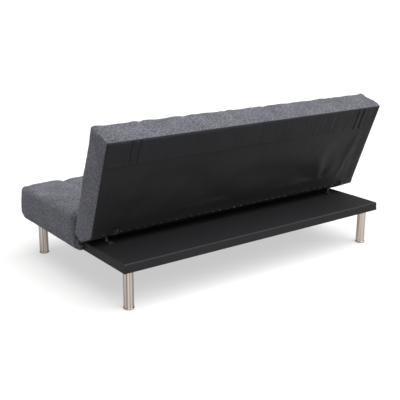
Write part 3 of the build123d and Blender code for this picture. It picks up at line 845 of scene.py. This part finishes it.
def back_cushion(settings, linen):
    """The backrest's tufted cushion, with its nose, its rear bevel and a slot at each hinge."""
    low, high = BACK_LOW.copy(), BACK_HIGH.copy()
    low[1] = BACK_LOW[1] + 0.0014
    base_line = BACK_LOW[2] + settings.bevel
    rows_share = panel_places(settings.rows, BACK_ROW_CELLS)
    heights = np.concatenate((np.linspace(low[2], base_line, NOSE_CELLS + 1)[:-1],
                              base_line + rows_share * (high[2] - base_line)))
    across = low[0] + panel_places(settings.columns, settings.cells) * (high[0] - low[0])
    depths = low[1] + np.linspace(0, 1, BACK_DEPTH_CELLS + 1) * (high[1] - low[1])
    steps, faces, sides = block_surface((len(across) - 1, BACK_DEPTH_CELLS, len(heights) - 1))
    whole = steps.astype(int)
    own = np.stack((across[whole[:, 0]], depths[whole[:, 1]], heights[whole[:, 2]]), axis=1)
    timber_front = BAND_LOW[1] + 0.062
    radius = 0.0025 + (TIMBER_ROUND - 0.0025) * smooth_step(own[:, 1:2], low[1], low[1] + 0.02)
    past_timber = smooth_step(own[:, 1:2], timber_front, timber_front + 0.05)
    radius += (settings.back_round - TIMBER_ROUND) * past_timber
    own = rounded(own, low, high, radius)
    nose = np.array((high[1] - settings.nose_round, low[2] + settings.nose_round))
    from_nose = own[:, 1:] - nose
    length = np.linalg.norm(from_nose, axis=1)
    beyond = (from_nose[:, 0] > 0) & (from_nose[:, 1] < 0) & (length > settings.nose_round)
    pull = np.where(beyond, settings.nose_round / np.maximum(length, 1e-9), 1.0)
    own[:, 1:] = nose + from_nose * pull[:, None]
    floor = base_line - np.clip(own[:, 1] - low[1], 0, settings.bevel)
    own[:, 2] = floor + (own[:, 2] - low[2]) / (high[2] - low[2]) * (high[2] - floor)
    border = np.minimum(np.minimum(own[:, 2] - base_line, high[2] - own[:, 2]), high[0] - np.abs(own[:, 0]))
    on_rear = (own[:, 1] < low[1] + 1e-6) & (whole[:, 1] == 0)
    own[:, 1] += settings.rear_recess * smooth_step(border, 0.014, 0.045) * on_rear
    made = make_object("back_cushion", own @ BACK_AXES, faces, linen, sides, BACK_AXES)
    normal = normals_of(made)
    facing = normal @ BACK_AXES.T
    x, n, u = own.T
    columns = column_seams(high[0], settings)
    rows = row_seams(base_line, high[2], settings)
    front = np.clip(facing[:, 1], 0, 1) ** 2
    top = np.clip(facing[:, 2], 0, 1) ** 2
    end = facing[:, 0] ** 2
    lower_fade = smooth_step(u, base_line - 0.01, base_line + 0.07)
    rear_fade = 0.35 + 0.65 * smooth_step(n, low[1], low[1] + 0.05)
    lean_on = tuft_height(x, u, columns, rows, settings) + tuck_wrinkles(x, u, columns, rows, 1.9)
    lean_on = calmed(lean_on, high[0] - np.abs(x), 0.001)
    over = (tuft_height(x, n, columns, (), settings) + settings.seam_depth) * 0.28 - 0.0012
    over += pleat_ripples(x, columns, 2.1)
    flank = 0.0035 * np.sin(np.pi * np.clip((n - low[1]) / (high[1] - low[1]), 0, 1))
    edge_fade = 0.55 + 0.45 * smooth_step(high[2] - u, 0.0, 0.06)
    height = front * lean_on * lower_fade * edge_fade + top * over * rear_fade + end * flank
    height += ripple(own, 0.075, 2) * 0.0028 * (front * lower_fade + top + end)
    height *= smooth_step(n, low[1], low[1] + 0.006) * 0.7 + 0.3
    height = np.where(facing[:, 2] < -0.4, 0, height)
    set_points(made, own @ BACK_AXES + normal * height[:, None])
    seams = seam_distance(x, columns)
    seams = np.exp(-np.minimum(seams, seam_distance(u, rows) + (top > 0.5)) / 0.008)
    held = np.maximum.reduce((np.clip(seams * (top + front), 0, 1), 0.75 * end,
                              1 - smooth_step(n, low[1], low[1] + 0.02),
                              1 - smooth_step(u, base_line, base_line + 0.06)))
    reach = np.where(u < base_line + 0.03, 0.1, 1.0) * (1 - 0.6 * smooth_step(u, high[2] - 0.05, high[2]))
    run_cloth(made, settings, held, reach)
    keep_over_timber(made)
    subdivide(made)
    slot_low = (BRACKET_LOW[0] - HINGE_ROOM, low[1] - 0.02, low[2] - 0.03)
    slot_high = (BOLT_HIGH[0] + HINGE_ROOM, PIVOT_FORWARD + HINGE_SWING, RAIL_LOW[2] - 0.0003)
    cut_slots(made, "back_cushion", slot_low, slot_high)
    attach(made, "backrest")
    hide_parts("back_cover", "back_foam")


# Black cloth


def sheet_grid(across, along):
    """Grid places and quads over two lists of lines."""
    grid = np.array([(x, y) for y in along for x in across])
    width = len(across)
    quads = [(row * width + i, row * width + i + 1, (row + 1) * width + i + 1, (row + 1) * width + i)
             for row in range(len(along) - 1) for i in range(width - 1)]
    return grid, quads


def grid_lines(step, *stops):
    """Lines a step or less apart that pass through every stop."""
    lines = []
    for start, end in zip(stops[:-1], stops[1:]):
        count = max(1, math.ceil((end - start) / step))
        lines.extend(np.linspace(start, end, count, endpoint=False))
    return np.array(lines + [stops[-1]])


def slot_lines():
    """The sides of both hinge slots along the sofa."""
    inner, outer = float(BRACKET_LOW[0] - HINGE_ROOM), float(BOLT_HIGH[0] + HINGE_ROOM)
    return [-outer, -inner, inner, outer]


def without_slots(grid, quads, top):
    """Quads of a sheet that lie outside the hinge slots."""
    inner, outer = slot_lines()[2:]
    kept = []
    for quad in quads:
        x, u = grid[list(quad)].mean(0)
        if not (inner < abs(x) < outer and u < top):
            kept.append(quad)
    return kept


def finish_sheet(name, own, quads, material, settings, axes=BACK_AXES):
    """A thin closed sheet from its outer face, given in an own set of axes."""
    used = sorted({corner for quad in quads for corner in quad})
    renumber = {old: new for new, old in enumerate(used)}
    faces = [[renumber[corner] for corner in quad] for quad in quads]
    kind = 1 if axes is BACK_AXES else 2
    made = make_object(name, (own @ axes)[used], faces, material, [kind] * len(faces), axes)
    modifier = made.modifiers.new("thickness", "SOLIDIFY")
    modifier.thickness = settings.thickness
    modifier.offset = -1.0
    apply_modifiers(made)
    return made


def rear_wrinkles(x, u, base_line, sag):
    """How far the rear cloth stands out of its plane, outwards above zero."""
    half = float(BACK_HIGH[0])
    top = float(BAND_LOW[2])
    height = np.zeros(len(x))
    centre_half = node_limits("back_centre_stile")[1][0]
    end_inner = node_limits("back_end_stile_right")[0][0]
    stile_low, stile_high = node_limits("hinge_stile_right")
    to_stile = np.maximum(stile_low[0] - np.abs(x), np.abs(x) - stile_high[0])
    to_timber = np.min((u - RAIL_HIGH[2], top - u, end_inner - np.abs(x), np.abs(x) - centre_half, to_stile),
                       axis=0)
    bays = (-half + END_BAY, -HINGE_BAY, 0.0, HINGE_BAY, half - END_BAY)
    rise = np.sin(np.pi * np.clip((u - base_line) / (top - base_line), 0, 1))
    for start, end in zip(bays[:-1], bays[1:]):
        share = np.clip((x - start) / (end - start), 0, 1)
        depth = sag if end - start > 0.2 else sag * 0.35
        height -= depth * np.sin(np.pi * share) ** 0.7 * rise ** 0.8
    fan_x, fan_u = FAN_START[0], base_line + FAN_START[1]
    dx, du = x - fan_x, u - fan_u
    distance, turn = np.hypot(dx, du), np.arctan2(du, -dx)
    reach = hill(distance, 0.16, 0.11)
    folds = np.cos(turn * 7.0 + 3.0 * distance) + 0.5 * np.cos(turn * 12.0 - 9.0 * distance + 1.2)
    height += FAN_FOLD * reach * folds * smooth_step(turn, 0.25, 0.7) * (1 - smooth_step(turn, 2.2, 2.9))
    height += 0.004 * np.exp(-((x + 0.46) / 0.16) ** 2 - ((u - base_line - 0.23) / 0.08) ** 2)
    ridge = (x - 0.70) * 0.85 + (u - base_line - 0.20) * 0.22
    height += RIDGE_HEIGHT * hill(ridge, 0.0, 0.020) * rise
    height -= 0.0036 * hill(ridge, -0.055, 0.030) * rise
    ridge = (x + 0.735) * 0.9 + (u - base_line - 0.15) * 0.16
    height += RIDGE_HEIGHT * hill(ridge, 0.0, 0.014) * rise
    height += ripple(flat_places(x, u * 1.6), 0.21, 3) * 0.0075 * rise ** 0.6
    slanted = flat_places(x + 0.6 * u, (u - 0.6 * x) * 0.45)
    height += ripple(slanted, 0.055, 4) * 0.0020 * rise ** 0.6
    return np.maximum(height, -TIMBER_DIP - BAY_DIP * smooth_step(to_timber, 0.0, 0.05))


def edge_hold(x, u, low, high, half):
    """0 at a sheet's edges and 1 inside them."""
    inside = np.minimum(np.minimum(u - low, high - u), half - np.abs(x))
    return smooth_step(inside, 0.0, EDGE_HOLD)


def rear_cloth(settings, cushion, lining):
    """The thin cloth on the back's rear face, stapled along its lower edge."""
    base_line = float(BACK_LOW[2]) + cushion.bevel
    top = float(BAND_LOW[2]) + 0.012
    half = float(BACK_HIGH[0]) - 0.0012
    across = grid_lines(settings.step, -half, *slot_lines(), half)
    along = grid_lines(settings.step, base_line, RAIL_LOW[2], top)
    grid, quads = sheet_grid(across, along)
    quads = without_slots(grid, quads, RAIL_LOW[2])
    x, u = grid.T
    height = rear_wrinkles(x, u, base_line, settings.sag) * edge_hold(x, u, base_line, top, half)
    hem = 1 - smooth_step(u, base_line + 0.016, base_line + 0.034)
    teeth = 0.5 + 0.5 * np.cos(x * 2 * np.pi / settings.staple_pitch)
    height += 0.0024 * hem * teeth * smooth_step(u, base_line - 0.001, base_line + 0.008)
    depth = REAR_FACE - height
    made = finish_sheet("rear_cloth", np.stack((x, depth, u), axis=1), quads, lining, settings)
    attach(made, "backrest")
    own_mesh(made)
    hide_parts("back_rear_cloth")


def bevel_cloth(settings, cushion, lining):
    """The cloth that goes on under the back along its bevel."""
    base_line = float(BACK_LOW[2]) + cushion.bevel
    half = float(BACK_HIGH[0]) - 0.0012
    across = grid_lines(settings.step, -half, *slot_lines(), half)
    along = grid_lines(settings.step, 0.0, cushion.bevel * math.sqrt(2))
    grid, quads = sheet_grid(across, along)
    quads = without_slots(grid, quads, 1.0)
    x, run = grid.T
    step = run / math.sqrt(2)
    slope = cushion.bevel * 1.41
    ease = smooth_step(run, 0.0, 0.02) * smooth_step(-run, -slope, -slope + 0.02)
    scallops = 0.0016 * np.cos(x * 2 * np.pi / settings.staple_pitch + 0.4)
    out = scallops + ripple(flat_places(x, run), 0.06, 5) * 0.003
    out = out * ease * edge_hold(x, run, -1.0, 1.0, half)
    depth = REAR_FACE + step - out * 0.7
    height = base_line - step - out * 0.7
    own = np.stack((x, depth, height), axis=1)
    made = finish_sheet("bevel_cloth", own, [quad[::-1] for quad in quads], lining, settings)
    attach(made, "backrest")
    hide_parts("back_rear_cloth")


def note_highlight(made, share):
    """Say how strongly a highlight is painted on the black cloth at each point, from 0 to 1."""
    layer = made.data.attributes.new("highlight_and_rub", "FLOAT", "POINT")
    layer.data.foreach_set("value", np.clip(share, 0, 1).astype(np.float32))


def top_band(settings, black):
    """The woven band along the top of the rear face, with its tucks and puckers, a lighter tone all over and
    a painted highlight along its lower lip.
    """
    low, top = float(BAND_LOW[2]), float(BACK_HIGH[2]) - 0.0015
    half = float(BACK_HIGH[0]) - 0.0008
    near = [tuck + part for tuck in BAND_TUCKS for part in (-0.006, -0.003, 0.0, 0.003, 0.006)]
    across = grid_lines(settings.step * 0.7, -half, *near, half)
    along = grid_lines(settings.step * 0.9, low, top)
    grid, quads = sheet_grid(across, along)
    x, u = grid.T
    rise = (u - low) / (top - low)
    height = np.zeros(len(x))
    for tuck in BAND_TUCKS:
        away = x - tuck - 0.0015 * np.sin(rise * 5 + tuck * 9)
        height -= 0.0062 * hill(away, 0.0, 0.0036)
        height += 0.0030 * np.exp(-((away - 0.011 * np.sign(tuck)) / 0.007) ** 2)
    puckered = hill(x, -0.46, 0.14) + 0.35 * hill(x, 0.30, 0.10)
    height += 0.0009 * puckered * np.cos(x * 2 * np.pi / 0.037 + 0.8 * np.sin(x * 23)) * (1 - 0.5 * rise)
    height += ripple(flat_places(x, u), 0.09, 6) * 0.0034
    height += ripple(flat_places(x * 2.2, u * 0.5), 0.07, 7) * 0.0016
    height *= smooth_step(top - u, 0.0, 0.012) * smooth_step(half - np.abs(x), 0.0, 0.012)
    lower_lip = 1 - smooth_step(u, low, low + 0.006)
    height += (settings.band_step + 0.0012 * lower_lip) * smooth_step(half - np.abs(x), 0.0, 0.010)
    height *= smooth_step(-u, -top, -top + 0.010) * 0.75 + 0.25
    depth = REAR_FACE - height
    made = finish_sheet("top_band", np.stack((x, depth, u), axis=1), quads, black, settings)
    # Painted highlight along the lower lip, over a lighter tone all over the band.
    rise = (points_of(made) @ UPWARD - low) / (top - low)
    note_highlight(made, 0.30 + 0.5 * (1 - smooth_step(rise, 0.02, 0.07)))
    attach(made, "backrest")
    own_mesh(made)
    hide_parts("back_top_band")


def shelf_wrap(settings, black):
    """The black cloth round the shelf board, drawn tight over its edges, with a painted highlight along the
    rounded edges and its side faces painted lighter.
    """
    low, high = SHELF_LOW - SHELF_EASE, SHELF_HIGH + SHELF_EASE * np.array((1, 1, 0))
    low[1] = SEAT_REAR - 0.02
    low[2] = SHELF_LOW[2] - UNDER_WRAP
    radius = settings.shelf_round
    lines = [edged_lines(start, end, radius, settings.step * 1.6) for start, end in zip(low, high)]
    steps, faces, sides = block_surface([len(places) - 1 for places in lines])
    whole = steps.astype(int)
    points = np.stack([lines[axis][whole[:, axis]] for axis in range(3)], axis=1)
    square = points
    under = UNDER_ROUND + (radius - UNDER_ROUND) * smooth_step(points[:, 2:], low[2], low[2] + 0.02)
    points = rounded(points, low, high, under)
    made = make_object("shelf_wrap", points, faces, black, sides)
    normal = normals_of(made)
    # Painted light: a highlight along the rounded edges, and the upright faces painted lighter than the top.
    eased = np.linalg.norm(points - square, axis=1) / (radius * 0.3)
    note_highlight(made, np.clip(eased, 0, 1) + 0.30 * (np.abs(normal[:, 2]) < 0.5))
    height = ripple(points, 0.16, 8) * 0.0022 + ripple(points * (1, 0.4, 1), 0.05, 9) * 0.0008
    height = np.maximum(height, -0.0003) * np.where(normal[:, 2] > 0.5, 0.6, 1.0)
    height = np.where(normal[:, 2] < -0.5, 0.0, height)
    set_points(made, points + normal * height[:, None])
    subdivide(made)
    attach(made, "base")
    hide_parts("shelf_cover")


def edged_lines(start, end, radius, step):
    """Cell lines between two faces of a block, with extra ones over the round at each."""
    near = radius * np.array((0.0, 0.25, 0.6, 1.0, 1.5))
    between = grid_lines(step, start + near[-1], end - near[-1])
    return np.concatenate((start + near[:-1], between, end - near[:-1][::-1]))


def dust_sheet(settings, lining):
    """The dust sheet stapled under the base, cut round the legs, with a slight sag."""
    low, high = node_limits("base_dust_cloth")
    across = grid_lines(DUST_CELL, low[0], 0.0, high[0])
    along = grid_lines(DUST_CELL, low[1], 0.0, high[1])
    grid, quads = sheet_grid(across, along)
    legs = [(node_limits(name)[0] + node_limits(name)[1])[:2] / 2 for name in sorted(NODES)
            if name.startswith("leg_glide")]
    radius = leg_radius() + settings.leg_gap
    kept = [quad for quad in quads
            if all(np.hypot(*(grid[list(quad)].mean(0) - leg)) > radius for leg in legs)]
    for leg in legs:
        away = grid - leg
        distance = np.linalg.norm(away, axis=1)
        near = distance < radius + 0.012
        scale = np.where(near, radius / np.maximum(distance, 1e-9), 1)
        grid = np.where(near[:, None], leg + away * scale[:, None], grid)
    x, y = grid.T
    bays = np.abs(np.sin(np.pi * (x - low[0]) / (high[0] - low[0]) * 4))
    inside = smooth_step(np.minimum(np.minimum(x - low[0], high[0] - x), np.minimum(y - low[1], high[1] - y)),
                         0.02, 0.09)
    sag = DUST_SAG * bays ** 0.7 * inside * smooth_step(np.minimum(y - low[1], high[1] - y), 0.02, 0.30)
    sag += np.abs(ripple(flat_places(x, y), 0.09, 10)) * 0.002 * inside
    own = np.stack((x, y, np.full(len(x), low[2] - UNDER_WRAP) - sag), axis=1)
    made = finish_sheet("dust_sheet", own, [quad[::-1] for quad in kept], lining, settings, SOFA_AXES)
    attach(made, "base")
    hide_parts("base_dust_cloth")


def leg_radius():
    """Radius of a leg's tube, measured above its lip."""
    points = points_of(NODES["leg_rear_right"])
    upper = points[points[:, 2] > points[:, 2].max() * 0.9]
    return float(upper[:, 0].max() - upper[:, 0].min()) / 2


def rear_staples(settings, cushion, zinc):
    """Staples along the lower hem of the rear cloth, as one piece."""
    base_line = float(BACK_LOW[2]) + cushion.bevel
    half = float(BACK_HIGH[0]) - 0.03
    inner, outer = slot_lines()[2:]
    points, faces, sides = [], [], []
    steps, quads, axis_of = block_surface(STAPLE_CELLS)
    count = int(2 * half / settings.staple_pitch)
    for number in range(count):
        x = (number - (count - 1) / 2) * settings.staple_pitch
        if inner - 0.012 < abs(x) < outer + 0.012:
            continue
        own = (steps / np.array(STAPLE_CELLS) - 0.5) * np.array(STAPLE_SIZE)
        bow = STAPLE_BOW * (1 - (own[:, 0] / 0.006) ** 2)
        own = own + np.stack((bow * 0, -bow, bow * 0), axis=1)
        tilt = 0.18 * math.sin(number * 2.4)
        own[:, 2] += own[:, 0] * tilt
        own = own + np.array((x, REAR_FACE - 0.0004, base_line + STAPLE_RISE))
        faces.extend([[corner + len(points) for corner in quad] for quad in quads])
        points.extend(own @ BACK_AXES)
        sides.extend(axis_of)
    made = make_object("rear_staples", np.array(points), faces, zinc, sides, BACK_AXES)
    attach(made, "backrest")


# Operators


def settings_of(context):
    """The sofa's settings in a scene."""
    return context.scene.sofa_bed


def finish_named(name):
    """A material that the finishes operator has made."""
    material = bpy.data.materials.get(name)
    if material is None:
        raise RuntimeError(f"finish {name} is missing: make the finishes first")
    return material


class SOFA_OT_finishes(bpy.types.Operator):
    """Make every finish, and give each frame, hinge and leg node its own"""

    bl_idname = "sofa.finishes"
    bl_label = "Finishes"

    def execute(self, context):
        colours = settings_of(context).colour
        linen = make_linen(colours)
        black = make_black_cloth(colours)
        lining = make_lining(colours)
        by_slot = {
            "grey_cloth": linen,
            "black_cloth": black,
            "dust_cloth": lining,
            "foam": linen,
            "timber": make_timber(colours),
            "plywood": make_plywood(colours),
            "chromed_tube": make_plated_tube(colours),
            "black_plastic": make_moulded_plastic(),
            "zinc_fasteners": make_metal("zinc_plate", (0.56, 0.55, 0.52), 0.28, 0.46, 300.0),
            "hinge_steel": make_metal("rolled_steel", (0.27, 0.27, 0.28), 0.34, 0.56, 120.0),
        }
        for node in NODES.values():
            for holder in node.material_slots:
                name = holder.material.name.split(".")[0]
                if name not in by_slot:
                    raise RuntimeError(f"no finish for slot {name}")
                holder.material = by_slot[name]
        return {"FINISHED"}


class SOFA_OT_seat(bpy.types.Operator):
    """Make the seat's cushion and the gathered tails at its rear corners"""

    bl_idname = "sofa.seat"
    bl_label = "Seat cushion"

    def execute(self, context):
        settings = settings_of(context).cushion
        seat_cushion(settings, finish_named("grey_linen"))
        corner_folds(finish_named("grey_linen"))
        return {"FINISHED"}


class SOFA_OT_backrest(bpy.types.Operator):
    """Make the backrest's cushion"""

    bl_idname = "sofa.backrest"
    bl_label = "Back cushion"

    def execute(self, context):
        back_cushion(settings_of(context).cushion, finish_named("grey_linen"))
        return {"FINISHED"}


class SOFA_OT_rear_cloths(bpy.types.Operator):
    """Make the rear cloth, the cloth on the bevel, the top band and the staples"""

    bl_idname = "sofa.rear_cloths"
    bl_label = "Rear cloths"

    def execute(self, context):
        settings = settings_of(context)
        rear_cloth(settings.cloth, settings.cushion, finish_named("spun_lining"))
        bevel_cloth(settings.cloth, settings.cushion, finish_named("spun_lining"))
        top_band(settings.cloth, finish_named("woven_black"))
        rear_staples(settings.cloth, settings.cushion, finish_named("rolled_steel"))
        return {"FINISHED"}


class SOFA_OT_base_cloths(bpy.types.Operator):
    """Make the shelf's black wrap and the dust sheet under the base"""

    bl_idname = "sofa.base_cloths"
    bl_label = "Base cloths"

    def execute(self, context):
        settings = settings_of(context).cloth
        shelf_wrap(settings, finish_named("woven_black"))
        dust_sheet(settings, finish_named("spun_lining"))
        return {"FINISHED"}


class SOFA_OT_stage(bpy.types.Operator):
    """Make the floor, the soft light and the camera"""

    bl_idname = "sofa.stage"
    bl_label = "Stage"

    def execute(self, context):
        studio = settings_of(context).studio
        scene = context.scene
        scene.view_settings.view_transform = "Standard"
        scene.view_settings.look = "None"
        corners = [(x * FLOOR_REACH, y * FLOOR_REACH, 0) for x, y in ((-1, -1), (1, -1), (1, 1), (-1, 1))]
        floor = make_object("studio_floor", np.array(corners, float), [(0, 1, 2, 3)],
                            make_floor_finish(studio))
        world = bpy.data.worlds.new("studio_sky")
        world.use_nodes = True
        sky = world.node_tree.nodes["Background"]
        sky.inputs["Color"].default_value = (1.0, 0.985, 0.965, 1.0)
        sky.inputs["Strength"].default_value = studio.sky
        scene.world = world
        light = bpy.data.lights.new("overhead_softbox", "SUN")
        light.energy = studio.key
        light.angle = math.radians(KEY_SPREAD)
        light.color = (1.0, 0.99, 0.98)
        lamp = bpy.data.objects.new("overhead_softbox", light)
        lamp.rotation_mode = "QUATERNION"
        lamp.rotation_quaternion = Vector(KEY_DIRECTION).to_track_quat("-Z", "Y")
        scene.collection.objects.link(lamp)
        camera = bpy.data.cameras.new("studio_camera")
        camera.lens = studio.lens
        holder = bpy.data.objects.new("studio_camera", camera)
        turn, rise = studio.azimuth, studio.elevation
        away = Vector((math.sin(turn) * math.cos(rise), -math.cos(turn) * math.cos(rise), math.sin(rise)))
        holder.location = Vector(studio.target) + away * studio.distance
        holder.rotation_mode = "QUATERNION"
        holder.rotation_quaternion = (-away).to_track_quat("-Z", "Y") @ Quaternion((0, 0, 1), studio.roll)
        scene.collection.objects.link(holder)
        scene.camera = holder
        return {"FINISHED"}


class SOFA_PT_panel(bpy.types.Panel):
    """Sofa bed's pieces in the sidebar"""

    bl_idname = "SOFA_PT_panel"
    bl_label = "Sofa bed"
    bl_space_type = "VIEW_3D"
    bl_region_type = "UI"
    bl_category = "Sofa bed"

    def draw(self, context):
        settings = settings_of(context)
        for operator in OPERATORS:
            self.layout.operator(operator.bl_idname)
        for group in (settings.cushion, settings.cloth, settings.colour, settings.studio):
            box = self.layout.box()
            for name in group.__annotations__:
                box.prop(group, name)


OPERATORS = (SOFA_OT_finishes, SOFA_OT_seat, SOFA_OT_backrest, SOFA_OT_rear_cloths, SOFA_OT_base_cloths,
             SOFA_OT_stage)
CLASSES = (CushionSettings, ClothSettings, ColourSettings, StudioSettings, SofaSettings, *OPERATORS,
           SOFA_PT_panel)


def register():
    """Add the classes and the scene's settings."""
    for item in CLASSES:
        bpy.utils.register_class(item)
    bpy.types.Scene.sofa_bed = PointerProperty(type=SofaSettings)


def unregister():
    """Take the settings and the classes away again."""
    del bpy.types.Scene.sofa_bed
    for item in reversed(CLASSES):
        bpy.utils.unregister_class(item)


def main():
    """Make every piece in order."""
    register()
    bpy.ops.sofa.finishes()
    bpy.ops.sofa.seat()
    bpy.ops.sofa.backrest()
    bpy.ops.sofa.rear_cloths()
    bpy.ops.sofa.base_cloths()
    bpy.ops.sofa.stage()


if __name__ == "__main__":
    main()
